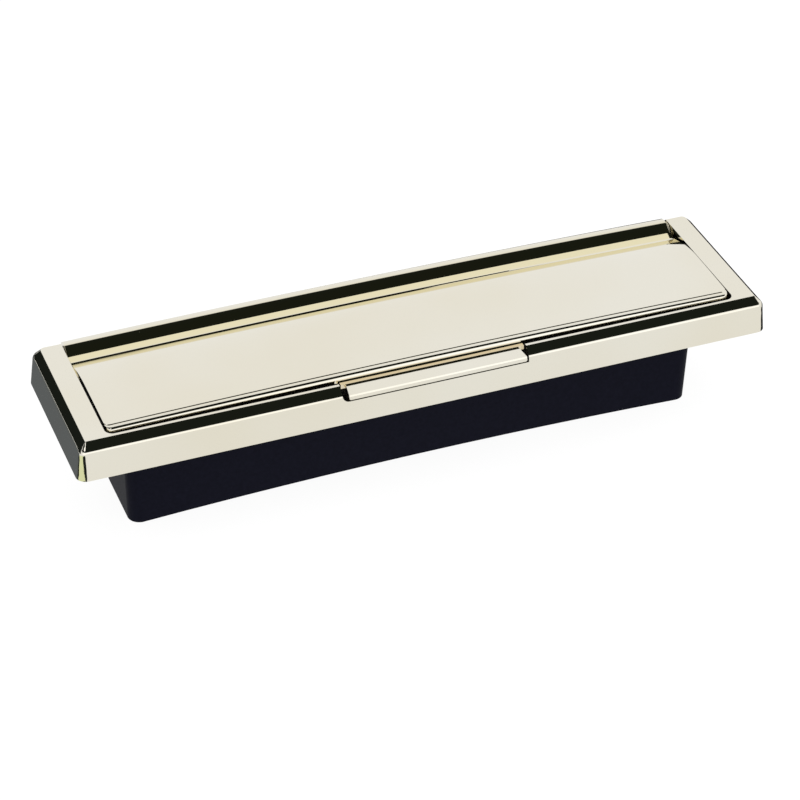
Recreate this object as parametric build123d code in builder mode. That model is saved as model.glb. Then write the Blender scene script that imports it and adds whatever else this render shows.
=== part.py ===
from build123d import *
import os
from math import asin, cos, degrees, radians, sin, sqrt

os.makedirs("parts", exist_ok=True)

# Frame of reference: X along the plate, Y across it from the pull edge (-Y) to the hinge edge (+Y),
# +Z out of the door. The origin is the centre of the frame's seating plane on the door face.

# --- cast frame ---------------------------------------------------------------------------------
plate_length = 310.0     # at the foot, where the frame meets the door
plate_width = 78.0
plate_height = 16.3
side_draft = 1.56        # how far the sides lean in between foot and rim
bevel_run = 3.44         # bevel between rim and top, seen from above
bevel_drop = 3.3
rim_round = 2.6
skirt_wall = 2.6
recess_corner_radius = 2.2
foot_corner_radii = (4.5, 6.5)   # corners at the front, corners at the back
rim_corner_radii = (2.7, 5.0)
land_corner_radii = (0.4, 2.0)
rim_height = plate_height - bevel_drop
front_face = -plate_width / 2
back_face = plate_width / 2

# --- well that the flap lies in -----------------------------------------------------------------
well_half_length = 140.75
well_front = front_face + 6.3
well_floor = 9.4
well_corner_radius = 3.5
web_underside = 6.5
cavity_length = 276.0    # hollow under the web, round the sleeve
cavity_width = 58.6
cavity_y = -4.2
cavity_corner_radius = 3.0
side_core_x = 146.9      # pocket in each side bar
side_core_y = -3.5
side_core_width = 7.6
side_core_length = 56.0
side_core_depth = 11.5
side_core_corner_radius = 2.0

# --- hinge --------------------------------------------------------------------------------------
hinge_y = 33.6
hinge_z = plate_height - 4.95
barrel_radius = 5.0
barrel_bore = 3.4        # radius of the channel inside the barrel
trough_radius = 6.6
back_wall_height = 6.0
pin_radius = 1.5
bush_bore = 1.55
bush_radius = 2.6
bush_seat_depth = 7.7
bush_flange_radius = 3.3
bush_flange_thickness = 0.8
lug_radius = 4.3
inner_lug_x = 97.0
inner_lug_length = 6.0
outer_lug_x = 132.5
outer_lug_length = 6.5
barrel_relief_x = 114.5  # opening in the barrel's rear wall for a spring's fixed leg
barrel_relief_length = 14.0

# --- flap ---------------------------------------------------------------------------------------
flap_half_length = 139.8
camber = 1.4             # rise of the flap's middle over its ends
bend_radius = (flap_half_length**2 + camber**2) / (2 * camber)
bend_axis_z = plate_height + camber - bend_radius
bend_angle = degrees(asin(flap_half_length / bend_radius))
flap_front = front_face + 9.3
bead_radius = 1.3
bead_y = flap_front + bead_radius
bead_rise = 0.35         # top of the bead
step_y = -27.45          # small step between bead and panel
step_rise = 0.62
crown_y = 0.85           # highest line of the panel
crown_rise = 0.95
panel_front_y = -27.2
panel_arc_radius = 58.0  # curve that carries the panel down to the crease
panel_arc_run = 16.6
crease_y = 22.7
cove_y = 27.7            # where the cove turns up into the ridge
cove_rise = -3.0
front_edge_height = 2.5  # of the flap's front edge at its ends
flap_corner_radius = 2.5

# --- finger pull --------------------------------------------------------------------------------
pull_half_root = 38.8
pull_half_front = 39.9
notch_half_width = 41.8
notch_depth = 6.0
notch_corner_radius = 3.0
lip_corner_radius = 1.7
pull_root_y = -26.4
pull_step_y = -33.95
lip_top_y = -39.6
lip_y = -40.1
lip_bottom = plate_height - 4.25
root_strip_clearance = 0.7
root_strip_top = plate_height - 1.0
pull_underside = plate_height - 2.2

# --- sleeve -------------------------------------------------------------------------------------
sleeve_half_length = 130.0
sleeve_front = -21.1
sleeve_back = 18.5
sleeve_depth = 42.7
sleeve_wall = 2.0
sleeve_corner_radius = 6.0
sleeve_draft = 0.7       # inset of each outer wall at the lower edge
sleeve_bow = 3.4         # inward sag of the long walls at the lower edge
flange_thickness = 2.0
flange_half_length = 118.0
flange_front = -28.6
flange_back = 24.7
sleeve_mid_y = (sleeve_front + sleeve_back) / 2
sleeve_width = sleeve_back - sleeve_front

# --- fixings ------------------------------------------------------------------------------------
fixing_x = 135.2
boss_radius = 4.4
insert_radius = 3.2
thread_radius = 2.1      # core of an M5 thread
insert_length = 6.6
insert_bottom = 1.2
gasket_recess = 1.0
gasket_proud = 0.5
screw_spacing = 85.0
screw_front_y = -25.2
screw_back_y = 22.3
screw_core_radius = 1.35
screw_head_radius = 2.2
screw_head_height = 1.6
screw_reach = 4.1        # above the flange's lower face
screw_cross_length = 2.2
screw_cross_width = 0.6

# --- hinge hardware -----------------------------------------------------------------------------
pin_head_x = 96.0
pin_head_radius = 2.6
pin_head_thickness = 0.9
pin_end_x = 147.4
clip_x = 103.25
clip_groove_radius = 1.15
clip_thickness = 0.5
clip_outer_radius = 2.9
clip_ring_radius = 2.1
clip_tooth_radius = 1.65 # centre of each tooth
spring_start_x = 110.0
spring_pitch = 1.1
spring_turns = 8.25
spring_radius = 2.4
spring_wire_radius = 0.4
spring_leg = 5.6
spring_bend = 0.9
spring_tail_x = 135.0

# --- seals --------------------------------------------------------------------------------------
seal_width = 2.5
seal_front = -26.6
seal_outer_x = 140.5
seal_end_y = 10.0
seal_height = 3.9
seal_corner_radius = 5.0
gasket_clearance = 0.3
gasket_inner_x = 141.0   # the gasket's opening clears the fixings, the cavity and the screws
gasket_inner_front = -33.2
gasket_inner_back = 26.0
buffer_radius = 1.4
buffer_x = 118.0
buffer_y = -28.15

# --- draught brushes in the sleeve --------------------------------------------------------------
brush_half_length = 120.0
rail_top = 3.0
rail_height = 5.0
rail_width = 4.4
rail_gap = 0.8           # between the rail's back and the sleeve wall at its ends
bristle_root = 3.4
bristle_length = 9.3     # free length in front of the rail
bristle_thickness = 2.6
bracket_x = 90.0
bracket_length = 12.0
bracket_wall = 1.2
bracket_root = 0.7       # how far a bracket starts inside the sleeve wall


def hinge_plane(x):
    """Plane across the hinge axis at x: local X is world Y, local Y is world Z."""
    return Plane(origin=(x, hinge_y, hinge_z), x_dir=(0, 1, 0), z_dir=(1, 0, 0))


def flap_lift(x):
    """How far the cambered flap stands above its ends at x."""
    return camber * (1 - (x / flap_half_length) ** 2)


def screw_places():
    """Centres of the six sleeve screws in plan."""
    return [(x, y) for y in (screw_front_y, screw_back_y) for x in (-screw_spacing, 0, screw_spacing)]


def save(piece, name):
    piece.part.label = name
    export_step(piece.part, f"parts/{name}.step")


# ================================ outer frame ===================================================
def plate_outline(z, inset, corner_radii):
    """Outline of the plate at height z, inset all round, with its front and back corner radii."""
    with BuildSketch(Plane.XY.offset(z)) as outline:
        Rectangle(plate_length - 2 * inset, plate_width - 2 * inset)
        for row, radius in zip((0, -1), corner_radii):
            fillet(outline.vertices().group_by(Axis.Y)[row], radius)
    return outline.sketch


with BuildPart() as outer_frame:
    # drafted sides up to the rim, then the bevel up to the flat top, with a round between them
    foot_outline = plate_outline(0, 0, foot_corner_radii)
    rim_outline = plate_outline(rim_height, side_draft, rim_corner_radii)
    land_outline = plate_outline(plate_height, side_draft + bevel_run, land_corner_radii)
    loft(sections=[foot_outline, rim_outline], ruled=True)
    loft(sections=[rim_outline, land_outline], ruled=True)
    rim = outer_frame.edges().filter_by_position(Axis.Z, rim_height - 0.01, rim_height + 0.01)
    fillet(rim, rim_round)

    # well for the flap, open through the back edge
    with BuildSketch(Plane.XY.offset(well_floor)):
        with Locations((0, well_front)):
            well = Rectangle(2 * well_half_length, 90, align=(Align.CENTER, Align.MIN))
        fillet(well.vertices().sort_by(Axis.Y)[:2], well_corner_radius)
    extrude(amount=plate_height, mode=Mode.SUBTRACT)
    # trough that the flap's barrel turns in, and the low wall behind it
    with BuildSketch(hinge_plane(-well_half_length)):
        Circle(trough_radius)
    extrude(amount=2 * well_half_length, mode=Mode.SUBTRACT)
    with BuildSketch(Plane.XY.offset(back_wall_height)):
        with Locations((0, hinge_y)):
            Rectangle(2 * well_half_length, 20, align=(Align.CENTER, Align.MIN))
    extrude(amount=plate_height, mode=Mode.SUBTRACT)

    # coring from behind: gasket recess, cavity round the sleeve, cavities in the side bars
    with BuildSketch(Plane.XY):
        RectangleRounded(
            plate_length - 2 * skirt_wall, plate_width - 2 * skirt_wall, recess_corner_radius
        )
    extrude(amount=gasket_recess, mode=Mode.SUBTRACT)
    with BuildSketch(Plane.XY):
        with Locations((0, cavity_y)):
            RectangleRounded(cavity_length, cavity_width, cavity_corner_radius)
    extrude(amount=web_underside, mode=Mode.SUBTRACT)
    with BuildSketch(Plane.XY):
        with Locations((side_core_x, side_core_y), (-side_core_x, side_core_y)):
            RectangleRounded(side_core_width, side_core_length, side_core_corner_radius)
    extrude(amount=side_core_depth, mode=Mode.SUBTRACT)

    # bosses for the fixing inserts
    with BuildSketch(Plane.XY.offset(gasket_recess)):
        with Locations((fixing_x, 0), (-fixing_x, 0)):
            Circle(boss_radius)
    extrude(amount=well_floor - gasket_recess)
    # letter opening through the web
    with BuildSketch(Plane.XY):
        with Locations((0, sleeve_mid_y)):
            RectangleRounded(
                2 * (sleeve_half_length - sleeve_wall),
                sleeve_width - 2 * sleeve_wall,
                sleeve_corner_radius - sleeve_wall,
            )
    extrude(amount=plate_height, mode=Mode.SUBTRACT)
    # bores for the inserts
    with BuildSketch(Plane.XY.offset(gasket_recess)):
        with Locations((fixing_x, 0), (-fixing_x, 0)):
            Circle(insert_radius)
    extrude(amount=insert_bottom + insert_length + 0.1 - gasket_recess, mode=Mode.SUBTRACT)
    # pilot holes for the sleeve screws
    with BuildSketch(Plane.XY.offset(web_underside)):
        with Locations(*screw_places()):
            Circle(screw_core_radius)
    extrude(amount=screw_reach - flange_thickness + 0.2, mode=Mode.SUBTRACT)
    # blind seats for the hinge bushes
    for side in (-1, 1):
        with BuildSketch(hinge_plane(side * well_half_length)):
            Circle(bush_radius)
        extrude(amount=side * bush_seat_depth, mode=Mode.SUBTRACT)

    # notch in the front bar for the finger pull
    with BuildSketch(Plane.XZ.offset(-well_front - 0.5)):
        with Locations((0, plate_height - notch_depth)):
            notch = Rectangle(2 * notch_half_width, 12, align=(Align.CENTER, Align.MIN))
        fillet(notch.vertices().sort_by(Axis.Z)[:2], notch_corner_radius)
    extrude(amount=10, mode=Mode.SUBTRACT)
save(outer_frame, "outer_frame")


# ================================ flap ==========================================================
def bent(y, rise):
    """Point of the flap's section: rise is measured from the frame's top at the flap's ends."""
    return (y, bend_radius + rise)


def round_barrel(angle, radius):
    """Point at an angle on a circle about the hinge axis, on the flap's section."""
    y = hinge_y + radius * cos(radians(angle))
    return bent(y, hinge_z - plate_height + radius * sin(radians(angle)))


section_plane = Plane(
    origin=(0, 0, bend_axis_z),
    x_dir=(0, 1, 0),
    z_dir=(cos(radians(bend_angle)), 0, sin(radians(bend_angle))),
)
panel_drop = panel_arc_radius - sqrt(panel_arc_radius**2 - panel_arc_run**2)
panel_slope = panel_arc_run / (panel_arc_radius - panel_drop)
arc_end_y = crown_y + panel_arc_run
crease_rise = crown_rise - panel_drop - panel_slope * (crease_y - arc_end_y)
arc_mid_run = panel_arc_run / 2
arc_mid_rise = crown_rise - (panel_arc_radius - sqrt(panel_arc_radius**2 - arc_mid_run**2))

with BuildPart() as flap:
    with BuildSketch(section_plane):
        with BuildLine():
            # front edge, bead rolled over it and step up to the panel
            Line(bent(flap_front, -front_edge_height), bent(flap_front, bead_rise - bead_radius))
            RadiusArc(
                bent(flap_front, bead_rise - bead_radius), bent(bead_y, bead_rise), bead_radius
            )
            Polyline(
                bent(bead_y, bead_rise), bent(step_y, bead_rise - 0.03), bent(panel_front_y, step_rise)
            )
            # panel, crease and cove
            ThreePointArc(
                bent(panel_front_y, step_rise),
                bent((panel_front_y + crown_y) / 2, (step_rise + 2 * crown_rise) / 3),
                bent(crown_y, crown_rise),
            )
            ThreePointArc(
                bent(crown_y, crown_rise), bent(crown_y + arc_mid_run, arc_mid_rise),
                bent(arc_end_y, crown_rise - panel_drop),
            )
            Line(bent(arc_end_y, crown_rise - panel_drop), bent(crease_y, crease_rise))
            ThreePointArc(
                bent(crease_y, crease_rise), bent(cove_y - 2.5, cove_rise - 0.35),
                bent(cove_y, cove_rise),
            )
            Line(bent(cove_y, cove_rise), round_barrel(125, barrel_radius))
            # barrel: round outside, open channel inside
            ThreePointArc(
                round_barrel(125, barrel_radius),
                round_barrel(40, barrel_radius),
                round_barrel(-50, barrel_radius),
            )
            Line(round_barrel(-50, barrel_radius), round_barrel(-50, barrel_bore))
            ThreePointArc(
                round_barrel(-50, barrel_bore), round_barrel(70, barrel_bore),
                round_barrel(190, barrel_bore),
            )
            # underside
            Polyline(
                round_barrel(190, barrel_bore), bent(27.2, -5.7), bent(crease_y, -5.5),
                bent(17.4, -3.95),
            )
            ThreePointArc(bent(17.4, -3.95), bent(9.6, -2.05), bent(crown_y, -1.4))
            ThreePointArc(bent(crown_y, -1.4), bent(-12.8, -1.6), bent(-26.4, -2.1))
            Line(bent(-26.4, -2.1), bent(flap_front, -front_edge_height))
        make_face()
    revolve(axis=Axis((0, 0, bend_axis_z), (0, 1, 0)), revolution_arc=2 * bend_angle)
    # square the ends and round the front corners
    for side in (-1, 1):
        with BuildSketch(Plane.XY):
            corner_x = side * (flap_half_length - flap_corner_radius)
            with Locations((corner_x, flap_front + flap_corner_radius)):
                Rectangle(6, 6, align=(Align.MIN if side > 0 else Align.MAX, Align.MAX))
                Circle(flap_corner_radius, mode=Mode.SUBTRACT)
        extrude(amount=plate_height + 5, mode=Mode.SUBTRACT)

    # lugs that carry the hinge pins
    for side in (-1, 1):
        for start, length in ((inner_lug_x, inner_lug_length), (outer_lug_x, outer_lug_length)):
            with BuildSketch(hinge_plane(side * start)):
                Circle(lug_radius)
            extrude(amount=side * length)
        with BuildSketch(hinge_plane(side * inner_lug_x)):
            Circle(pin_radius + 0.02)
        extrude(amount=side * (flap_half_length - inner_lug_x), mode=Mode.SUBTRACT)
        with BuildSketch(hinge_plane(side * outer_lug_x)):
            with Locations((spring_radius, spring_bend)):
                Circle(spring_wire_radius + 0.1)
        extrude(amount=side * 3.0, mode=Mode.SUBTRACT)
        # relief in the barrel's rear wall over each spring's fixed leg
        with BuildSketch(Plane.XY.offset(hinge_z - 6)):
            with Locations((side * barrel_relief_x, hinge_y + barrel_bore)):
                Rectangle(barrel_relief_length, 5)
        extrude(amount=5.2, mode=Mode.SUBTRACT)

    # finger pull: strip from under the bead, then a plate that turns down into a lip
    with BuildSketch(Plane.YZ):
        with BuildLine():
            Polyline(
                (pull_root_y, plate_height - 0.3), (flap_front + 0.1, plate_height - 0.3),
                (flap_front + 0.1, root_strip_top), (pull_step_y, root_strip_top),
                (pull_step_y, pull_underside), (pull_root_y, pull_underside), close=True,
            )
        make_face()
    extrude(amount=notch_half_width - root_strip_clearance, both=True)
    with BuildSketch(Plane.YZ):
        with BuildLine():
            Polyline(
                (pull_step_y + 0.7, root_strip_top - 0.5), (pull_step_y, plate_height - 0.2),
                (lip_top_y + 0.2, plate_height - 1.4), (lip_top_y, plate_height - 1.55),
                (lip_y, plate_height - 2.9),
            )
            ThreePointArc(
                (lip_y, plate_height - 2.9), (lip_y + 0.15, lip_bottom + 0.4), (lip_y + 0.9, lip_bottom)
            )
            Polyline(
                (lip_y + 0.9, lip_bottom), (lip_y + 1.6, lip_bottom + 0.9),
                (lip_y + 2.5, pull_underside - 0.3), (pull_step_y + 0.7, pull_underside),
                (pull_step_y + 0.7, root_strip_top - 0.5),
            )
        make_face()
    extrude(amount=pull_half_front, both=True)
    # the pull widens a little towards its lip, and its lower corners are round
    for side in (-1, 1):
        with BuildSketch(Plane.XY.offset(plate_height - 6)):
            with BuildLine():
                Polyline(
                    (side * pull_half_root, pull_step_y), (side * 43, pull_step_y),
                    (side * 43, lip_y - 1), (side * pull_half_front, lip_y - 1),
                    (side * pull_half_front, lip_y), close=True,
                )
            make_face()
        extrude(amount=8, mode=Mode.SUBTRACT)
        with BuildSketch(Plane.XZ.offset(-lip_y - 2.9)):
            lip_corner_x = side * (pull_half_front - lip_corner_radius)
            with Locations((lip_corner_x, lip_bottom + lip_corner_radius)):
                Rectangle(3, 3, align=(Align.MIN if side > 0 else Align.MAX, Align.MAX))
                Circle(lip_corner_radius, mode=Mode.SUBTRACT)
        extrude(amount=4, mode=Mode.SUBTRACT)
save(flap, "flap")


# ================================ hinge pins, clips, bushes =====================================
def make_hinge_pin(side):
    """Headed pin with a groove for its clip, from the inner lug out into the side bar."""
    with BuildPart() as pin:
        with BuildSketch(hinge_plane(side * pin_head_x)):
            Circle(pin_head_radius)
        extrude(amount=side * pin_head_thickness)
        with BuildSketch(hinge_plane(side * pin_head_x)):
            Circle(pin_radius)
        extrude(amount=side * (pin_end_x - pin_head_x))
        tip = pin.faces().sort_by(Axis.X)[-1 if side > 0 else 0]
        chamfer(tip.edges(), 0.4)
        with BuildSketch(hinge_plane(side * clip_x)):
            Circle(pin_radius + 1)
            Circle(clip_groove_radius, mode=Mode.SUBTRACT)
        extrude(amount=side * (clip_thickness + 0.1), mode=Mode.SUBTRACT)
    return pin


def make_pin_clip(side):
    """E-clip: three inner teeth on the groove, open towards the well."""
    with BuildPart() as clip:
        with BuildSketch(hinge_plane(side * clip_x)):
            Circle(clip_outer_radius)
            Circle(clip_ring_radius, mode=Mode.SUBTRACT)
            for tooth_angle in (90, 200, 340):
                tooth_y = clip_tooth_radius * cos(radians(tooth_angle))
                tooth_z = clip_tooth_radius * sin(radians(tooth_angle))
                with Locations(Location((tooth_y, tooth_z, 0), (0, 0, tooth_angle))):
                    Rectangle(1.0, 0.9)
            with Locations((0, -clip_outer_radius + 0.4)):
                Rectangle(1.8, 2.0, mode=Mode.SUBTRACT)
        extrude(amount=side * clip_thickness)
    return clip


def make_hinge_bush(side):
    """Flanged nylon bush, blind seat in the side bar."""
    with BuildPart() as bush:
        with BuildSketch(hinge_plane(side * (well_half_length - bush_flange_thickness))):
            Circle(bush_flange_radius)
        extrude(amount=side * bush_flange_thickness)
        with BuildSketch(hinge_plane(side * well_half_length)):
            Circle(bush_radius)
        extrude(amount=side * (bush_seat_depth - 0.1))
        with BuildSketch(hinge_plane(side * (well_half_length - bush_flange_thickness))):
            Circle(bush_bore)
        extrude(amount=side * (bush_seat_depth + 2), mode=Mode.SUBTRACT)
    return bush


# name suffix and side of the plate
sides = {"left": -1, "right": 1}
for name, side in sides.items():
    save(make_hinge_pin(side), f"hinge_pin_{name}")
    save(make_pin_clip(side), f"pin_clip_{name}")
    save(make_hinge_bush(side), f"hinge_bush_{name}")


# ================================ closing springs ===============================================
# The blank is one wire along +Z: the fixed leg runs straight into the coil, whose far end bends
# into a tail that reaches the hole in the outer lug.
with BuildPart() as spring_blank:
    with BuildLine() as wire_route:
        coil = Helix(spring_pitch, spring_pitch * spring_turns, spring_radius)
        leg = Line(coil @ 0 - (coil % 0) * spring_leg, coil @ 0)
        bend_end = coil @ 1 + (coil % 1 + Vector(0, 0, 1)) * spring_bend
        bend = TangentArc(coil @ 1, bend_end, tangent=coil % 1)
        Line(bend @ 1, ((bend @ 1).X, (bend @ 1).Y, spring_tail_x - spring_start_x))
    with BuildSketch(Plane(origin=leg @ 0, z_dir=leg % 0)):
        Circle(spring_wire_radius)
    sweep(path=wire_route.wires()[0])

with BuildPart() as closing_spring_right:
    spring_seat = Plane(origin=(spring_start_x, hinge_y, hinge_z), x_dir=(0, 0, -1), z_dir=(1, 0, 0))
    with Locations(spring_seat):
        add(spring_blank.part)
save(closing_spring_right, "closing_spring_right")
with BuildPart() as closing_spring_left:
    mirror(closing_spring_right.part, about=Plane.YZ)
save(closing_spring_left, "closing_spring_left")


# ================================ seals and buffers =============================================
# Foam seal on the well floor, along the front and round both corners.
with BuildPart() as flap_seal:
    with BuildSketch(Plane.XY.offset(well_floor)):
        with Locations((0, seal_front)):
            outer = Rectangle(
                2 * seal_outer_x, seal_end_y - seal_front, align=(Align.CENTER, Align.MIN)
            )
        fillet(outer.vertices().sort_by(Axis.Y)[:2], seal_corner_radius)
    extrude(amount=seal_height)
    with BuildSketch(Plane.XY.offset(well_floor)):
        with Locations((0, seal_front + seal_width)):
            inner = Rectangle(2 * (seal_outer_x - seal_width), 60, align=(Align.CENTER, Align.MIN))
        fillet(inner.vertices().sort_by(Axis.Y)[:2], seal_corner_radius - seal_width)
    extrude(amount=seal_height, mode=Mode.SUBTRACT)
save(flap_seal, "flap_seal")

# Two rubber buffers that the flap's front edge closes on.
with BuildPart() as flap_buffers:
    closed_gap = plate_height - front_edge_height + flap_lift(buffer_x + buffer_radius) - well_floor
    with BuildSketch(Plane.XY.offset(well_floor)):
        with Locations((-buffer_x, buffer_y), (buffer_x, buffer_y)):
            Circle(buffer_radius)
    extrude(amount=closed_gap - 0.06)
    fillet(flap_buffers.faces().group_by(Axis.Z)[-1].edges(), 0.4)
save(flap_buffers, "flap_buffers")

# Die-cut foam gasket that lies in the recess round the back of the frame.
with BuildPart() as frame_gasket:
    with BuildSketch(Plane.XY.offset(-gasket_proud)):
        RectangleRounded(
            plate_length - 2 * (skirt_wall + gasket_clearance),
            plate_width - 2 * (skirt_wall + gasket_clearance),
            recess_corner_radius,
        )
        with Locations((0, (gasket_inner_front + gasket_inner_back) / 2)):
            RectangleRounded(
                2 * gasket_inner_x, gasket_inner_back - gasket_inner_front, cavity_corner_radius,
                mode=Mode.SUBTRACT,
            )
    extrude(amount=gasket_proud + gasket_recess)
save(frame_gasket, "frame_gasket")


# ================================ sleeve ========================================================
def sleeve_section(z, inset, bow):
    """Outline of the sleeve at height z: inset all round, long sides bowed in at their middle."""
    half_x = sleeve_half_length - inset
    half_y = sleeve_width / 2 - inset
    radius = sleeve_corner_radius - min(inset, sleeve_wall)
    with BuildSketch(Plane.XY.offset(z)) as section:
        with BuildLine():
            for turn in (1, -1):
                long_start = (turn * (half_x - radius), sleeve_mid_y - turn * half_y)
                long_end = (-turn * (half_x - radius), sleeve_mid_y - turn * half_y)
                if bow > 0:
                    ThreePointArc(long_start, (0, sleeve_mid_y - turn * (half_y - bow)), long_end)
                else:
                    Line(long_start, long_end)
                side_start = (-turn * half_x, sleeve_mid_y - turn * (half_y - radius))
                side_end = (-turn * half_x, sleeve_mid_y + turn * (half_y - radius))
                RadiusArc(long_end, side_start, radius)
                Line(side_start, side_end)
                RadiusArc(side_end, (-turn * (half_x - radius), sleeve_mid_y + turn * half_y), radius)
        make_face()
    return section.sketch


with BuildPart() as sleeve:
    outer_sections = [
        sleeve_section(web_underside, 0, 0),
        sleeve_section(-sleeve_depth, sleeve_draft, sleeve_bow),
    ]
    loft(sections=outer_sections, ruled=True)
    # flange along both long sides, screwed to the underside of the frame's web
    with BuildSketch(Plane.XY.offset(web_underside - flange_thickness)):
        with Locations((0, (flange_front + flange_back) / 2)):
            Rectangle(2 * flange_half_length, flange_back - flange_front)
    extrude(amount=flange_thickness)
    inner_sections = [
        sleeve_section(web_underside, sleeve_wall, 0),
        sleeve_section(-sleeve_depth, sleeve_wall + sleeve_draft, sleeve_bow),
    ]
    loft(sections=inner_sections, ruled=True, mode=Mode.SUBTRACT)
    with BuildSketch(Plane.XY.offset(web_underside - flange_thickness)):
        with Locations(*screw_places()):
            Circle(screw_core_radius + 0.15)
    extrude(amount=flange_thickness, mode=Mode.SUBTRACT)
    # snap brackets inside the long walls: a tray under each brush rail and a hook over it
    rail_reach = sleeve_wall + rail_gap + rail_width
    for edge in (-1, 1):
        wall_y = sleeve_mid_y + edge * (sleeve_width / 2 - bracket_root)
        outwards = Align.MIN if edge < 0 else Align.MAX
        for centre_x in (-bracket_x, 0, bracket_x):
            with BuildSketch(Plane.YZ.offset(centre_x - bracket_length / 2)):
                with Locations((wall_y, rail_top - rail_height)):
                    Rectangle(rail_reach + 0.5, bracket_wall, align=(outwards, Align.MAX))
                with Locations((wall_y, rail_top)):
                    Rectangle(rail_reach - 0.7, bracket_wall, align=(outwards, Align.MIN))
                with Locations((wall_y - edge * (rail_reach - 0.6), rail_top - rail_height)):
                    Rectangle(1.1, 0.9, align=(outwards, Align.MIN))
            extrude(amount=bracket_length)
save(sleeve, "sleeve")


# ================================ sleeve screws =================================================
with BuildPart() as sleeve_screws:
    head_seat = web_underside - flange_thickness
    head_face = head_seat - screw_head_height
    with BuildSketch(Plane.XY.offset(head_face)):
        with Locations(*screw_places()):
            Circle(screw_head_radius)
    extrude(amount=screw_head_height)
    with BuildSketch(Plane.XY.offset(head_seat)):
        with Locations(*screw_places()):
            Circle(screw_core_radius - 0.05)
    extrude(amount=screw_reach)
    fillet(sleeve_screws.edges().filter_by_position(Axis.Z, head_face - 0.1, head_face + 0.1), 0.5)
    with BuildSketch(Plane.XY.offset(head_face)):
        with Locations(*screw_places()):
            Rectangle(screw_cross_length, screw_cross_width)
            Rectangle(screw_cross_width, screw_cross_length)
    extrude(amount=0.9, mode=Mode.SUBTRACT)
save(sleeve_screws, "sleeve_screws")


# ================================ fixing inserts ================================================
def make_fixing_insert(side):
    """Grooved brass insert with an M5 thread, pressed into its boss from behind."""
    with BuildPart() as insert:
        with BuildSketch(Plane.XY.offset(insert_bottom)):
            with Locations((side * fixing_x, 0)):
                Circle(insert_radius)
                Circle(thread_radius, mode=Mode.SUBTRACT)
        extrude(amount=insert_length)
        for groove_z in (insert_bottom + 2.6, insert_bottom + 4.8):
            with BuildSketch(Plane.XY.offset(groove_z)):
                with Locations((side * fixing_x, 0)):
                    Circle(insert_radius + 1)
                    Circle(insert_radius - 0.4, mode=Mode.SUBTRACT)
            extrude(amount=0.7, mode=Mode.SUBTRACT)
    return insert


# ================================ draught brushes ===============================================
def rail_back(edge):
    """Y of a rail's back; edge is -1 at the front of the sleeve, +1 at the back."""
    return sleeve_mid_y + edge * (sleeve_width / 2 - sleeve_wall - rail_gap)


def make_brush_rail(edge):
    """Aluminium channel along one long side of the sleeve."""
    outwards = Align.MIN if edge < 0 else Align.MAX
    channel_floor = rail_back(edge) - edge * (rail_width - bristle_root)
    with BuildPart() as rail:
        with BuildSketch(Plane.YZ.offset(-brush_half_length)):
            with Locations((rail_back(edge), rail_top)):
                Rectangle(rail_width, rail_height, align=(outwards, Align.MAX))
            with Locations((channel_floor, rail_top - rail_height / 2)):
                Rectangle(
                    bristle_root + 1, bristle_thickness, align=(outwards, Align.CENTER),
                    mode=Mode.SUBTRACT,
                )
        extrude(amount=2 * brush_half_length)
    return rail


def make_brush(edge):
    """Bristle pack held in its rail."""
    outwards = Align.MIN if edge < 0 else Align.MAX
    channel_floor = rail_back(edge) - edge * (rail_width - bristle_root)
    with BuildPart() as brush:
        with BuildSketch(Plane.YZ.offset(-brush_half_length)):
            with Locations((channel_floor, rail_top - rail_height / 2)):
                Rectangle(
                    bristle_root + bristle_length, bristle_thickness, align=(outwards, Align.CENTER)
                )
        extrude(amount=2 * brush_half_length)
    return brush


for name, side in sides.items():
    save(make_fixing_insert(side), f"fixing_insert_{name}")
for name, edge in {"front": -1, "back": 1}.items():
    save(make_brush_rail(edge), f"brush_rail_{name}")
    save(make_brush(edge), f"brush_{name}")
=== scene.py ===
"""Looks of a polished gold letter plate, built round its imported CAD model."""

import math
import random

import bmesh
import bpy
from mathutils import Matrix, Vector


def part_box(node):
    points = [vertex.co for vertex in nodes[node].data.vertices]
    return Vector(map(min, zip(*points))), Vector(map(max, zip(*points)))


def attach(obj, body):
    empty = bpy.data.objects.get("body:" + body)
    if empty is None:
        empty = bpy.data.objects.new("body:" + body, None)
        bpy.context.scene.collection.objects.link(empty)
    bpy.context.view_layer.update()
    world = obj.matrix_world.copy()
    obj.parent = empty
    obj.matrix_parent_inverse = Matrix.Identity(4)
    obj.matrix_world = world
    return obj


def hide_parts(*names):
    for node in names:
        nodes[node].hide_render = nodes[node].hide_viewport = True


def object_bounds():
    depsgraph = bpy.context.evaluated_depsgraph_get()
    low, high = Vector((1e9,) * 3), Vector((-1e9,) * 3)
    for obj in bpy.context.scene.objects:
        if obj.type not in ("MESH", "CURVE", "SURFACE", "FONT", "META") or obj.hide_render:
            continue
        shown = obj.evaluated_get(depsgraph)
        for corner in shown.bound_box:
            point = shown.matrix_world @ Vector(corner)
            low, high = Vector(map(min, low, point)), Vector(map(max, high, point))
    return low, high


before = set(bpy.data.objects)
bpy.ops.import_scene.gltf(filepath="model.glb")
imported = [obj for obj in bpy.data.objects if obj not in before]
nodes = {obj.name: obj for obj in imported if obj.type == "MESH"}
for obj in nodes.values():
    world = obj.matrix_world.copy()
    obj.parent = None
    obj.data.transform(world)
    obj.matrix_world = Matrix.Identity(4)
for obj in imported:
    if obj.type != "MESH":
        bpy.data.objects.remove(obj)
cad_lo, cad_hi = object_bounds()

# --- camera: angles in degrees, lengths in metres -------------------------------------------------
CAMERA_AZIMUTH = -22.49
CAMERA_ELEVATION = 36.66
CAMERA_ROLL = 1.39
CAMERA_DISTANCE = 1.0885
CAMERA_LENS = 117.33
SENSOR_WIDTH = 36.0
AIM_SIDE = -0.0157
AIM_UP = 0.0016
PLATE_HALF_WIDTH = 0.039

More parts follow.
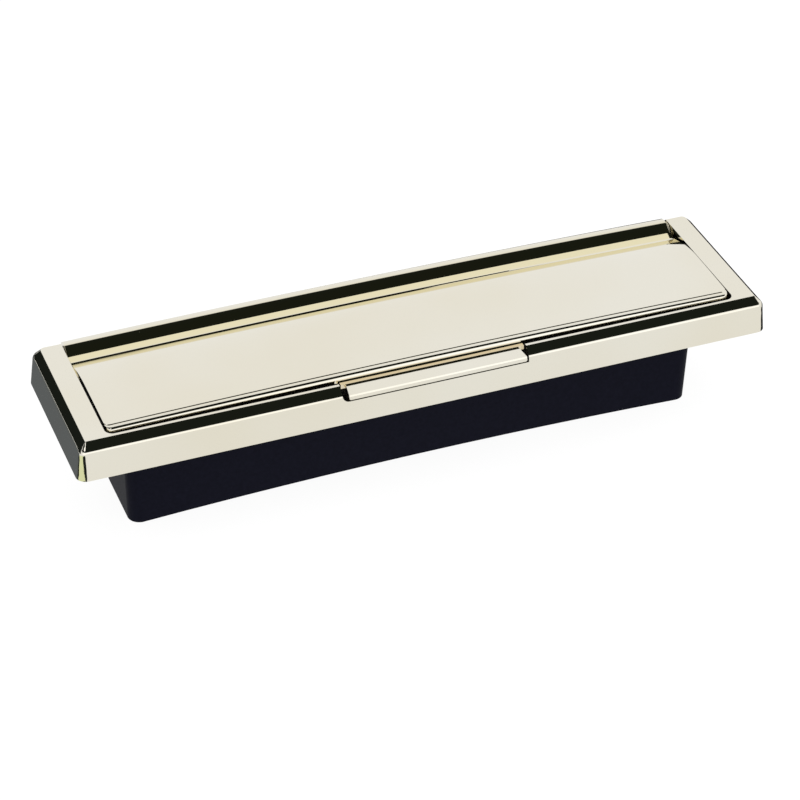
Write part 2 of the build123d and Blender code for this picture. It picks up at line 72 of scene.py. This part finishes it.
# --- studio ---------------------------------------------------------------------------------------
FLOOR_SIZE = 12.0
PALE = (1.0, 1.0, 1.0)
ROOM_LIGHT = (1.05, 1.05, 1.05)
BACKDROP = (0.90, 0.90, 0.90)
FRONT_SCREEN = (1.18, 1.18, 1.18)
OVERHEAD_PANEL = (1.3, 1.3, 1.3)
FLOOR_COLOUR = (0.12, 0.12, 0.12)
FLOOR_GLOW = (0.92, 0.92, 0.92)
FLOOR_GLOW_MIRRORED = (0.72, 0.72, 0.71)
CEILING = (0.010, 0.012, 0.009)
LEFT_SIDE = (0.010, 0.012, 0.010)
# each surround is an axis to face, then the cosines where it starts and is complete
FRONT_FACING = ((0.1, -1, 0.15), 0.6, 0.9)
CEILING_FACING = ((0, -0.33, 0.945), 0.68, 0.75)
LEFT_FACING = ((-0.8, 0.6, 0), 0.52, 0.70)
PANEL_FACING = ((-0.229, -0.552, 0.802), 0.978, 0.988)

# --- painted reflections: deeper yellows painted into the gold's colour on the cove and the pull's strip ---
PAINTED_COVE_REFLECTION = (0.88, 0.80, 0.53)
PAINTED_STRIP_REFLECTION = (0.76, 0.62, 0.38)

# --- flap: millimetres; y runs across the plate, rise is height above the plate at the flap's ends --
MM = 0.001
PLATE_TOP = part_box("outer_frame")[1].z / MM
FLAP_HALF = 139.8
FRONT_EDGE_RISE = -2.5
BEAD_Y = -28.7
BEAD_RISE = 0.35
BEAD_RADIUS = 1.2
BEAD_FACE_RADIUS = 3.5
BEAD_FACE_START = 147.0
BEAD_FACE_END = 166.0
FLAP_FRONT = -30.2
BEAD_TOE_DROP = 0.25
STEP_Y = -27.45
STEP_FOOT_DROP = 0.03
PANEL_FRONT_Y = -27.2
STEP_RISE = 0.62
CROWN_Y = 0.85
CROWN_RISE = 0.95
PANEL_RADIUS = 58.0
PANEL_RUN = 13.1
CREASE_Y = 22.5
CREASE_RISE = -3.1
CREASE_WIDTH = 0.42
CREASE_DEPTH = 0.36
COVE_SAG = -0.1
CREASE_FADE_START = -10.0
CREASE_FADE_END = 90.0
CREASE_SOFT_SHARE = 0.35
COVE_Y = 27.7
COVE_RISE = -3.0
HINGE_Y = 33.6
HINGE_RISE = -4.95
BARREL_RADIUS = 5.0
BARREL_BORE = 3.4
BARREL_START = 125.0
BARREL_END = -50.0
BORE_END = 190.0
RELIEF_END = -9.2
RELIEF_FROM = 107.5
RELIEF_TO = 121.5
CORNER_RADIUS = 2.5
CORNER_FADE_Y = -12.4
CORNER_STEPS = 8
# underside, from the barrel forward
BARREL_TOE = (27.2, -5.7)
COVE_UNDERSIDE = (22.7, -5.5)
PANEL_UNDERSIDE_BACK = (17.4, -3.95)
PANEL_UNDERSIDE_TURN = (9.6, -2.05)
CROWN_UNDERSIDE = (CROWN_Y, -1.4)
FRONT_UNDERSIDE_MIDDLE = (-12.8, -1.6)
FRONT_UNDERSIDE = (-26.4, -2.1)
STATION_GAP = 2.0
LUGS = ((97.0, 103.0), (132.5, 139.0))
LUG_RADIUS = 4.3
PIN_HOLE = 2.02
LUG_SIDES = 48
SHARP_ANGLE = 28
SOFT_EDGE_WIDTH = 0.12
SOFT_EDGE_ANGLE = 35
# the mesh's crown keeps just under the CAD's, so the camber is measured from it
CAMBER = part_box("flap")[1].z / MM - PLATE_TOP - CROWN_RISE - 0.005
BEND_RADIUS = (FLAP_HALF**2 + CAMBER**2) / (2 * CAMBER)

# --- finger pull ----------------------------------------------------------------------------------
PULL_ROOT_Y = -26.4
PULL_STEP_Y = -33.95
LIP_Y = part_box("flap")[0].y / MM + 0.005
STRIP_HALF = 41.1
PULL_HALF_ROOT = 38.8
PULL_HALF_FRONT = 39.9
STRIP_TOP = PLATE_TOP - 0.3
STRIP_FRONT_Y = -33.2
PULL_UNDERSIDE = PLATE_TOP - 2.2
LIP_BOTTOM = PLATE_TOP - 4.0
LIP_CORNER = 1.7
LIP_SHOULDER = (LIP_Y + 0.62, PLATE_TOP - 1.42)
LIP_FRONT = (LIP_Y, PLATE_TOP - 2.9)
LIP_TURN = (LIP_Y + 0.15, LIP_BOTTOM + 0.4)
LIP_FOOT = (LIP_Y + 0.9, LIP_BOTTOM)
LIP_REAR = 2.9

# --- draught brushes: metres ----------------------------------------------------------------------
FILAMENT_GAP = 0.0006
FILAMENT_RADIUS = 0.00011
FILAMENT_ROWS = 4
FILAMENT_SWAY = 0.0003
FILAMENT_UNEVENNESS = 0.05


def circle_points(centre, radius, start, end, steps):
    """Points on an arc about a centre; angles in degrees, both ends included."""
    angles = [math.radians(start + (end - start) * i / steps) for i in range(steps + 1)]
    return [(centre[0] + radius * math.cos(a), centre[1] + radius * math.sin(a)) for a in angles]


def arc_through(first, middle, last, steps):
    """Points on the arc from first through middle to last, both ends included."""
    a, b, c = (Vector(p) for p in (first, middle, last))
    cross = 2 * ((b - a).x * (c - a).y - (b - a).y * (c - a).x)
    ab, ac = (b - a).length_squared, (c - a).length_squared
    centre = a + Vector((
        ((c - a).y * ab - (b - a).y * ac) / cross,
        ((b - a).x * ac - (c - a).x * ab) / cross,
    ))
    start = math.atan2(*reversed(a - centre))
    sweep = math.atan2(*reversed(c - centre)) - start
    sweep = (sweep + math.pi) % (2 * math.pi) - math.pi
    radius = (a - centre).length
    return circle_points(centre, radius, math.degrees(start), math.degrees(start + sweep), steps)


def flap_section(barrel_end, crease_share):
    """The flap's outline from its front edge over the top, round the barrel and back underneath."""
    lean = math.degrees(math.asin(PANEL_RUN / PANEL_RADIUS))
    cove_start = (CREASE_Y + CREASE_WIDTH, CREASE_RISE + CREASE_DEPTH * crease_share)
    cove_middle = ((cove_start[0] + COVE_Y) / 2, (cove_start[1] + COVE_RISE) / 2 + COVE_SAG)
    mid_y, mid_rise = (PANEL_FRONT_Y + CROWN_Y) / 2, (STEP_RISE + 2 * CROWN_RISE) / 3
    hinge = (HINGE_Y, HINGE_RISE)
    bead = circle_points((BEAD_Y, BEAD_RISE - BEAD_RADIUS), BEAD_RADIUS, BEAD_FACE_START, 90, 8)
    turn = math.radians(BEAD_FACE_START)
    face_centre = (
        bead[0][0] - BEAD_FACE_RADIUS * math.cos(turn), bead[0][1] - BEAD_FACE_RADIUS * math.sin(turn)
    )
    face = circle_points(face_centre, BEAD_FACE_RADIUS, BEAD_FACE_END, BEAD_FACE_START, 6)
    outline = [(FLAP_FRONT, FRONT_EDGE_RISE), (FLAP_FRONT, face[0][1] - BEAD_TOE_DROP)]
    outline += face + bead[1:]
    outline += [(STEP_Y, BEAD_RISE - STEP_FOOT_DROP)]
    outline += arc_through((PANEL_FRONT_Y, STEP_RISE), (mid_y, mid_rise), (CROWN_Y, CROWN_RISE), 8)
    outline += circle_points((CROWN_Y, CROWN_RISE - PANEL_RADIUS), PANEL_RADIUS, 90, 90 - lean, 8)[1:]
    outline += [(CREASE_Y, CREASE_RISE)]
    outline += arc_through(cove_start, cove_middle, (COVE_Y, COVE_RISE), 6)
    outline += circle_points(hinge, BARREL_RADIUS, BARREL_START, barrel_end, 28)
    outline += circle_points(hinge, BARREL_BORE, barrel_end, BORE_END, 18)
    outline += [BARREL_TOE, COVE_UNDERSIDE]
    outline += arc_through(PANEL_UNDERSIDE_BACK, PANEL_UNDERSIDE_TURN, CROWN_UNDERSIDE, 6)
    outline += arc_through(CROWN_UNDERSIDE, FRONT_UNDERSIDE_MIDDLE, FRONT_UNDERSIDE, 4)[1:]
    return outline


def crease_share(x):
    """The crease is crisp on the left and softens towards the right end."""
    along = min(1.0, max(0.0, (x - CREASE_FADE_START) / (CREASE_FADE_END - CREASE_FADE_START)))
    return 1.0 - (1.0 - CREASE_SOFT_SHARE) * along * along * (3 - 2 * along)


def flap_stations():
    """Places along the flap: (distance from the middle, where the barrel's wall ends)."""
    half = [(i * STATION_GAP, BARREL_END) for i in range(int(RELIEF_FROM / STATION_GAP) + 1)]
    half += [(RELIEF_FROM, BARREL_END), (RELIEF_FROM, RELIEF_END)]
    half += [(RELIEF_FROM + STATION_GAP * i, RELIEF_END) for i in range(1, 7)]
    half += [(RELIEF_TO, RELIEF_END), (RELIEF_TO, BARREL_END)]
    corner = FLAP_HALF - CORNER_RADIUS
    steps = CORNER_STEPS
    half += [(RELIEF_TO + (corner - RELIEF_TO) * i / steps, BARREL_END) for i in range(1, steps + 1)]
    turns = [math.radians(90 * i / steps) for i in range(1, steps + 1)]
    half += [(corner + CORNER_RADIUS * math.sin(turn), BARREL_END) for turn in turns]
    return [(-x, end) for x, end in reversed(half[1:])] + half


def on_flap(x, y, rise):
    """Point of the cambered flap, its front corners rounded in plan."""
    past = max(0.0, abs(x) - (FLAP_HALF - CORNER_RADIUS))
    inset = CORNER_RADIUS - math.sqrt(max(0.0, CORNER_RADIUS**2 - past**2))
    fade = min(1.0, max(0.0, (CORNER_FADE_Y - y) / (CORNER_FADE_Y - FLAP_FRONT)))
    turn = math.asin(x / BEND_RADIUS)
    reach = BEND_RADIUS + rise
    z = PLATE_TOP + CAMBER - BEND_RADIUS + reach * math.cos(turn)
    return Vector((reach * math.sin(turn), y + inset * fade, z)) * MM


def sweep(rows, faces_at_ends=True):
    """Vertices and faces of a skin drawn through rows of points, each row a closed loop."""
    count = len(rows[0])
    vertices = [point for row in rows for point in row]
    faces = []
    for start in range(0, (len(rows) - 1) * count, count):
        for i in range(count):
            j = (i + 1) % count
            faces.append((start + i, start + j, start + count + j, start + count + i))
    if faces_at_ends:
        last = (len(rows) - 1) * count
        faces.append(tuple(reversed(range(count))))
        faces.append(tuple(range(last, last + count)))
    return vertices, faces


def ring(x_from, x_to, outer, inner):
    """A lug round the hinge axis with its pin hole."""
    hinge = (HINGE_Y, PLATE_TOP + HINGE_RISE)
    rows = []
    for x, radius in ((x_from, outer), (x_to, outer), (x_to, inner), (x_from, inner), (x_from, outer)):
        loop = circle_points(hinge, radius, 0, 360, LUG_SIDES)[:-1]
        rows.append([Vector((x, y, z)) * MM for y, z in loop])
    return sweep(rows, faces_at_ends=False)


def prism(outline, half_width):
    """A piece of constant section across the middle of the flap; half_width is asked at each point."""
    rows = [[Vector((side * half_width(y, z), y, z)) * MM for y, z in outline] for side in (-1, 1)]
    return sweep(rows)


def pull_half_width(y, z):
    """The pull widens towards its lip, and its lower corners are round."""
    share = max(0.0, (PULL_STEP_Y - y) / (PULL_STEP_Y - LIP_Y))
    half = PULL_HALF_ROOT + (PULL_HALF_FRONT - PULL_HALF_ROOT) * share
    below = max(0.0, LIP_BOTTOM + LIP_CORNER - z)
    if y > LIP_Y + LIP_REAR:
        return half
    return half - LIP_CORNER + math.sqrt(max(0.0, LIP_CORNER**2 - below**2))


def pull_outline():
    """The finger pull's plate, from its root out over the lip and back underneath."""
    outline = [
        (STRIP_FRONT_Y + 0.3, STRIP_TOP - 0.6), (STRIP_FRONT_Y - 0.1, STRIP_TOP - 0.55),
        LIP_SHOULDER,
    ]
    outline += arc_through(LIP_FRONT, LIP_TURN, LIP_FOOT, 8)
    outline += [
        (LIP_Y + 1.6, LIP_BOTTOM + 0.9), (LIP_Y + 2.5, PULL_UNDERSIDE - 0.3),
        (STRIP_FRONT_Y + 0.3, PULL_UNDERSIDE),
    ]
    return outline


def strip_outline():
    """The strip that carries the pull from under the bead."""
    return [
        (PULL_ROOT_Y, STRIP_TOP), (STRIP_FRONT_Y, STRIP_TOP),
        (STRIP_FRONT_Y, PULL_UNDERSIDE), (PULL_ROOT_Y, PULL_UNDERSIDE),
    ]


def make_object(name, parts, crease):
    """One mesh object from several skins, smooth except where faces meet at more than the crease angle."""
    vertices, faces = [], []
    for part_vertices, part_faces in parts:
        offset = len(vertices)
        vertices += part_vertices
        faces += [tuple(offset + i for i in face) for face in part_faces]
    mesh = bpy.data.meshes.new(name)
    mesh.from_pydata(vertices, [], faces)
    mesh.polygons.foreach_set("use_smooth", [True] * len(faces))
    mesh.set_sharp_from_angle(angle=math.radians(crease))
    made = bpy.data.objects.new(name, mesh)
    bpy.context.scene.collection.objects.link(made)
    return made


def outward(made, crease):
    """Turns every face of a mesh outwards, then marks its sharp edges afresh."""
    shape = bmesh.new()
    shape.from_mesh(made.data)
    bmesh.ops.remove_doubles(shape, verts=shape.verts, dist=0.000001)
    bmesh.ops.recalc_face_normals(shape, faces=shape.faces)
    shape.to_mesh(made.data)
    shape.free()
    made.data.set_sharp_from_angle(angle=math.radians(crease))


def make_flap(material):
    """The flap with even quads, so that the bead and the ridge reflect in unbroken lines."""
    rows = []
    for x, end in flap_stations():
        section = flap_section(end, crease_share(x))
        rows.append([on_flap(x, y, rise) for y, rise in section])
    parts = [sweep(rows)]
    for side in (-1, 1):
        parts += [ring(side * start, side * end, LUG_RADIUS, PIN_HOLE) for start, end in LUGS]
    parts.append(prism(strip_outline(), lambda y, z: STRIP_HALF))
    parts.append(prism(pull_outline(), pull_half_width))
    flap = make_object("polished_flap", parts, SHARP_ANGLE)
    outward(flap, SHARP_ANGLE)
    flap.data.materials.append(material)
    edges = flap.modifiers.new("softened_edges", "BEVEL")
    edges.width = SOFT_EDGE_WIDTH * MM
    edges.segments = 2
    edges.limit_method = "ANGLE"
    edges.angle_limit = math.radians(SOFT_EDGE_ANGLE)
    edges.harden_normals = True
    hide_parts("flap")
    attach(flap, "flap")


def make_brush(name, material):
    """Nylon filaments in rows, a little uneven, in place of the CAD's solid strip."""
    low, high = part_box(name)
    root, tip = (low.y, high.y) if name == "brush_front" else (high.y, low.y)
    chance = random.Random(name)
    parts = []
    gap, thickness, rows = FILAMENT_GAP, FILAMENT_RADIUS, FILAMENT_ROWS
    count = int((high.x - low.x - 2 * gap) / gap)
    for row in range(rows):
        for i in range(count):
            x = low.x + gap * (1 + i + 0.5 * (row % 2))
            z = low.z + (high.z - low.z) * (row + 0.5) / rows
            end_x = min(high.x - gap, max(low.x + gap, x + chance.uniform(-0.5, 0.5) * gap))
            end_z = z + chance.uniform(-1, 1) * FILAMENT_SWAY
            end_z = min(high.z - thickness, max(low.z + thickness, end_z))
            end_y = tip + (root - tip) * chance.uniform(0.0, FILAMENT_UNEVENNESS)
            line = [Vector((x, root, z)), Vector((end_x, end_y, end_z))]
            loops = []
            for point in line:
                loops.append([
                    point + Vector((thickness * math.cos(turn), 0, thickness * math.sin(turn)))
                    for turn in (0, 2 * math.pi / 3, 4 * math.pi / 3)
                ])
            parts.append(sweep(loops))
    brush = make_object(name + "_filaments", parts, 70)
    brush.data.materials.append(material)
    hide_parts(name)
    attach(brush, "frame")


def shader(name):
    """A new material with its node tree and Principled shader."""
    material = bpy.data.materials.new(name)
    material["slot"] = name
    material.use_nodes = True
    tree = material.node_tree
    tree.nodes.clear()
    output = tree.nodes.new("ShaderNodeOutputMaterial")
    principled = tree.nodes.new("ShaderNodeBsdfPrincipled")
    tree.links.new(principled.outputs["BSDF"], output.inputs["Surface"])
    return material, tree, principled


def noise(tree, scale, detail=3.0, roughness=0.5, stretch=(1, 1, 1)):
    """Noise in the object's own coordinates, so it stays put on each piece."""
    coordinate = tree.nodes.new("ShaderNodeTexCoord")
    mapping = tree.nodes.new("ShaderNodeMapping")
    mapping.inputs["Scale"].default_value = stretch
    texture = tree.nodes.new("ShaderNodeTexNoise")
    texture.inputs["Scale"].default_value = scale
    texture.inputs["Detail"].default_value = detail
    texture.inputs["Roughness"].default_value = roughness
    tree.links.new(coordinate.outputs["Object"], mapping.inputs["Vector"])
    tree.links.new(mapping.outputs["Vector"], texture.inputs["Vector"])
    return texture


def ramp(tree, source, stops):
    """Colour ramp on a texture's factor; stops are (position, colour)."""
    node = tree.nodes.new("ShaderNodeValToRGB")
    elements = node.color_ramp.elements
    while len(elements) < len(stops):
        elements.new(0.5)
    for element, (position, colour) in zip(elements, stops):
        element.position = position
        element.color = (*colour, 1.0)
    tree.links.new(source, node.inputs["Fac"])
    return node


def spread(tree, source, low, high):
    """Maps a 0..1 value to a range."""
    node = tree.nodes.new("ShaderNodeMapRange")
    node.inputs["To Min"].default_value = low
    node.inputs["To Max"].default_value = high
    tree.links.new(source, node.inputs["Value"])
    return node


def bump(tree, principled, source, strength, distance):
    """Raises the surface's relief from a texture's factor; distance is in metres."""
    node = tree.nodes.new("ShaderNodeBump")
    node.inputs["Strength"].default_value = strength
    node.inputs["Distance"].default_value = distance
    tree.links.new(source, node.inputs["Height"])
    tree.links.new(node.outputs["Normal"], principled.inputs["Normal"])


def facing(tree, direction, axis, start, end):
    """0 to 1 as a direction comes nearer to an axis; start and end are cosines."""
    dot = tree.nodes.new("ShaderNodeVectorMath")
    dot.operation = "DOT_PRODUCT"
    dot.inputs[1].default_value = Vector(axis).normalized()
    tree.links.new(direction, dot.inputs[0])
    near = tree.nodes.new("ShaderNodeMapRange")
    near.interpolation_type = "SMOOTHSTEP"
    near.inputs["From Min"].default_value = start
    near.inputs["From Max"].default_value = end
    tree.links.new(dot.outputs["Value"], near.inputs["Value"])
    return near.outputs["Result"]


def mixed(tree, factor, first, second):
    """Colour that goes from first to second; each is a colour or a node output."""
    mix = tree.nodes.new("ShaderNodeMix")
    mix.data_type = "RGBA"
    tree.links.new(factor, mix.inputs[0])
    for socket, value in ((mix.inputs[6], first), (mix.inputs[7], second)):
        if isinstance(value, tuple):
            socket.default_value = (*value, 1.0)
        else:
            tree.links.new(value, socket)
    return mix.outputs[2]


def polished_gold(painted_reflection_bands=()):
    """Pale gold plating on a buffed casting; the bands given are (from y, to y, tone): stretches across the
    flap where a deeper yellow is painted into the base colour as a painted reflection.
    """
    material, tree, principled = shader("polished_gold")
    principled.inputs["Metallic"].default_value = 1.0
    tone = ramp(
        tree, noise(tree, 14.0, detail=2.0).outputs["Fac"],
        [(0.3, (0.865, 0.82, 0.69)), (0.7, (0.89, 0.86, 0.76))],
    )
    colour = tone.outputs["Color"]
    across = tree.nodes.new("ShaderNodeSeparateXYZ")
    coordinate = tree.nodes.new("ShaderNodeTexCoord")
    tree.links.new(coordinate.outputs["Object"], across.inputs["Vector"])
    # each band paints a deeper yellow into the base colour: a painted reflection, not the metal's own tone
    for start, end, painted_tone in painted_reflection_bands:
        band = tree.nodes.new("ShaderNodeMapRange")
        band.inputs["From Min"].default_value = start * MM
        band.inputs["From Max"].default_value = end * MM
        tree.links.new(across.outputs["Y"], band.inputs["Value"])
        painted_band_mask = ramp(tree, band.outputs["Result"], [
            (0.0, (0, 0, 0)), (0.12, (1, 1, 1)), (0.7, (1, 1, 1)), (1.0, (0, 0, 0)),
        ])
        colour = mixed(tree, painted_band_mask.outputs["Color"], colour, painted_tone)
    tree.links.new(colour, principled.inputs["Base Color"])
    haze_marks = noise(tree, 260.0, detail=4.0, stretch=(0.2, 1, 1))
    haze = spread(tree, haze_marks.outputs["Fac"], 0.04, 0.075)
    tree.links.new(haze.outputs["Result"], principled.inputs["Roughness"])
    return material


def surface(name, colour, metallic, roughness, grain, relief, level=0.5, stretch=(1, 1, 1)):
    """Material with uneven tone and gloss; grain is the texture's scale and relief its depth in metres."""
    material, tree, principled = shader(name)
    principled.inputs["Metallic"].default_value = metallic
    principled.inputs["Specular IOR Level"].default_value = level
    tone = ramp(
        tree, noise(tree, grain * 0.3, stretch=stretch).outputs["Fac"],
        [(0.3, tuple(c * 0.85 for c in colour)), (0.7, tuple(min(1, c * 1.1) for c in colour))],
    )
    tree.links.new(tone.outputs["Color"], principled.inputs["Base Color"])
    texture = noise(tree, grain, detail=4.0, stretch=stretch)
    rough = spread(tree, texture.outputs["Fac"], roughness * 0.8, min(1, roughness * 1.2))
    tree.links.new(rough.outputs["Result"], principled.inputs["Roughness"])
    bump(tree, principled, texture.outputs["Fac"], 0.6, relief)
    return material


def dress(names, material):
    """Gives CAD nodes their material and its slot in the record."""
    for name in names:
        node = nodes[name]
        node.data.materials.clear()
        node.data.materials.append(material)


def both(stem):
    """Names of a left and right pair of nodes."""
    return [stem + "_left", stem + "_right"]


gold = polished_gold()
plastic = surface("black_plastic", (0.0062, 0.0064, 0.0125), 0, 0.42, 1800, 0.00002, level=0.02)
steel = surface("steel", (0.62, 0.62, 0.61), 1, 0.22, 900, 0.000004, stretch=(0.15, 1, 1))
spring_steel = surface("spring_steel", (0.40, 0.39, 0.37), 1, 0.3, 1500, 0.000005)
nylon = surface("nylon", (0.78, 0.76, 0.68), 0, 0.45, 700, 0.00001)
foam = surface("foam", (0.028, 0.028, 0.03), 0, 0.95, 2600, 0.0003, level=0.2)
rubber = surface("rubber", (0.02, 0.02, 0.021), 0, 0.62, 1400, 0.00003, level=0.35)
insert_brass = surface("insert_brass", (0.72, 0.56, 0.27), 1, 0.28, 1000, 0.000006)
aluminium = surface("aluminium", (0.72, 0.72, 0.73), 1, 0.3, 800, 0.000006, stretch=(0.08, 1, 1))
bristle = surface("bristle", (0.018, 0.018, 0.019), 0, 0.45, 1200, 0.00001, level=0.4)

# the flap's gold gets a deeper yellow painted into its colour on the cove and the pull's strip, a painted
# reflection
gold_with_painted_reflections = polished_gold([
    (CREASE_Y, HINGE_Y, PAINTED_COVE_REFLECTION), (STRIP_FRONT_Y - 0.2, BEAD_Y - 1.6, PAINTED_STRIP_REFLECTION),
])
dress(["outer_frame", "flap"], gold)
dress(["sleeve"], plastic)
dress(both("hinge_pin") + ["sleeve_screws"], steel)
dress(both("pin_clip") + both("closing_spring"), spring_steel)
dress(both("hinge_bush"), nylon)
dress(["flap_seal", "frame_gasket"], foam)
dress(["flap_buffers"], rubber)
dress(both("fixing_insert"), insert_brass)
dress(["brush_rail_front", "brush_rail_back"], aluminium)
dress(["brush_front", "brush_back"], bristle)
make_flap(gold_with_painted_reflections)
make_brush("brush_front", bristle)
make_brush("brush_back", bristle)


def make_floor(height):
    """Plain pale floor; it glows so that the object leaves hardly any shadow."""
    mesh = bpy.data.meshes.new("floor")
    half = FLOOR_SIZE / 2
    mesh.from_pydata(
        [(-half, -half, height), (half, -half, height), (half, half, height), (-half, half, height)],
        [], [(0, 1, 2, 3)],
    )
    floor = bpy.data.objects.new("floor", mesh)
    bpy.context.scene.collection.objects.link(floor)
    material, tree, principled = shader("floor")
    principled.inputs["Base Color"].default_value = (*FLOOR_COLOUR, 1)
    principled.inputs["Roughness"].default_value = 1.0
    principled.inputs["Specular IOR Level"].default_value = 0.0
    rays = tree.nodes.new("ShaderNodeLightPath")
    glow = mixed(tree, rays.outputs["Is Glossy Ray"], FLOOR_GLOW, FLOOR_GLOW_MIRRORED)
    tree.links.new(glow, principled.inputs["Emission Color"])
    principled.inputs["Emission Strength"].default_value = 1.0
    mesh.materials.append(material)


def make_world():
    """Studio round the object: pale backdrop and front screen, dark ceiling and dark left side."""
    world = bpy.data.worlds.new("studio")
    bpy.context.scene.world = world
    world.use_nodes = True
    tree = world.node_tree
    background = tree.nodes["Background"]
    direction = tree.nodes.new("ShaderNodeTexCoord").outputs["Generated"]
    surround = mixed(tree, facing(tree, direction, *FRONT_FACING), BACKDROP, FRONT_SCREEN)
    surround = mixed(tree, facing(tree, direction, *CEILING_FACING), surround, CEILING)
    surround = mixed(tree, facing(tree, direction, *LEFT_FACING), surround, LEFT_SIDE)
    overhead = facing(tree, direction, *PANEL_FACING)
    surround = mixed(tree, overhead, surround, OVERHEAD_PANEL)
    rays = tree.nodes.new("ShaderNodeLightPath")
    lit = mixed(tree, rays.outputs["Is Diffuse Ray"], surround, ROOM_LIGHT)
    shown = mixed(tree, rays.outputs["Is Camera Ray"], lit, PALE)
    tree.links.new(shown, background.inputs["Color"])


def make_light(name, place, aim, size, power):
    """Soft area light that brightens the floor and the sleeve but isn't mirrored in the gold."""
    data = bpy.data.lights.new(name, "AREA")
    data.shape = "SQUARE"
    data.size = size
    data.energy = power
    light = bpy.data.objects.new(name, data)
    bpy.context.scene.collection.objects.link(light)
    light.location = place
    light.rotation_mode = "QUATERNION"
    light.rotation_quaternion = (Vector(aim) - Vector(place)).to_track_quat("-Z", "Y")
    light.visible_camera = False
    light.visible_glossy = False


def make_card(name, across, along, shade, lift=0.001):
    """Card on the floor beside the object that only reflections see."""
    height = cad_lo.z + lift
    (left, right), (near, far) = across, along
    mesh = bpy.data.meshes.new(name)
    mesh.from_pydata(
        [(left, near, height), (right, near, height), (right, far, height), (left, far, height)],
        [], [(0, 1, 2, 3)],
    )
    card = bpy.data.objects.new(name, mesh)
    bpy.context.scene.collection.objects.link(card)
    material, tree, principled = shader(name)
    principled.inputs["Base Color"].default_value = (0, 0, 0, 1)
    principled.inputs["Roughness"].default_value = 1.0
    principled.inputs["Specular IOR Level"].default_value = 0.0
    principled.inputs["Emission Color"].default_value = (*shade, 1)
    principled.inputs["Emission Strength"].default_value = 1.0
    mesh.materials.append(material)
    card.visible_camera = False
    card.visible_diffuse = False
    card.visible_shadow = False


def make_camera():
    """Camera at the object's front left, above it."""
    azimuth, elevation, roll = (math.radians(a) for a in (CAMERA_AZIMUTH, CAMERA_ELEVATION, CAMERA_ROLL))
    back = Vector((
        math.sin(azimuth) * math.cos(elevation),
        -math.cos(azimuth) * math.cos(elevation),
        math.sin(elevation),
    ))
    right = Vector((math.cos(azimuth), math.sin(azimuth), 0))
    up = back.cross(right)
    turned_right = right * math.cos(roll) + up * math.sin(roll)
    turned_up = up * math.cos(roll) - right * math.sin(roll)
    front_edge = Vector((0, -PLATE_HALF_WIDTH, 0))
    data = bpy.data.cameras.new("camera")
    data.sensor_width = SENSOR_WIDTH
    data.lens = CAMERA_LENS
    data.clip_start = 0.05
    data.clip_end = 50
    camera = bpy.data.objects.new("camera", data)
    bpy.context.scene.collection.objects.link(camera)
    basis = Matrix((turned_right, turned_up, back)).transposed().to_4x4()
    basis.translation = (
        front_edge + back * CAMERA_DISTANCE + turned_right * AIM_SIDE + turned_up * AIM_UP
    )
    camera.matrix_world = basis
    bpy.context.scene.camera = camera


make_floor(cad_lo.z)
make_world()
make_light("overhead", (0.2, -0.3, 1.9), (0, 0, 0), 1.6, 8)
make_card("left_card", (-0.9, -0.16), (0.0, 0.9), (0.11, 0.12, 0.13))
make_card("corner_surround", (-0.30, -0.165), (-0.2, 0.0), (0.01, 0.012, 0.01))
make_card("corner_card", (-0.30, -0.174), (-0.118, -0.025), (0.74, 0.78, 0.50), lift=0.002)
make_card("right_card", (0.172, 0.9), (-0.065, 0.9), (0.01, 0.01, 0.01))
make_camera()
bpy.context.scene.view_settings.view_transform = "Standard"
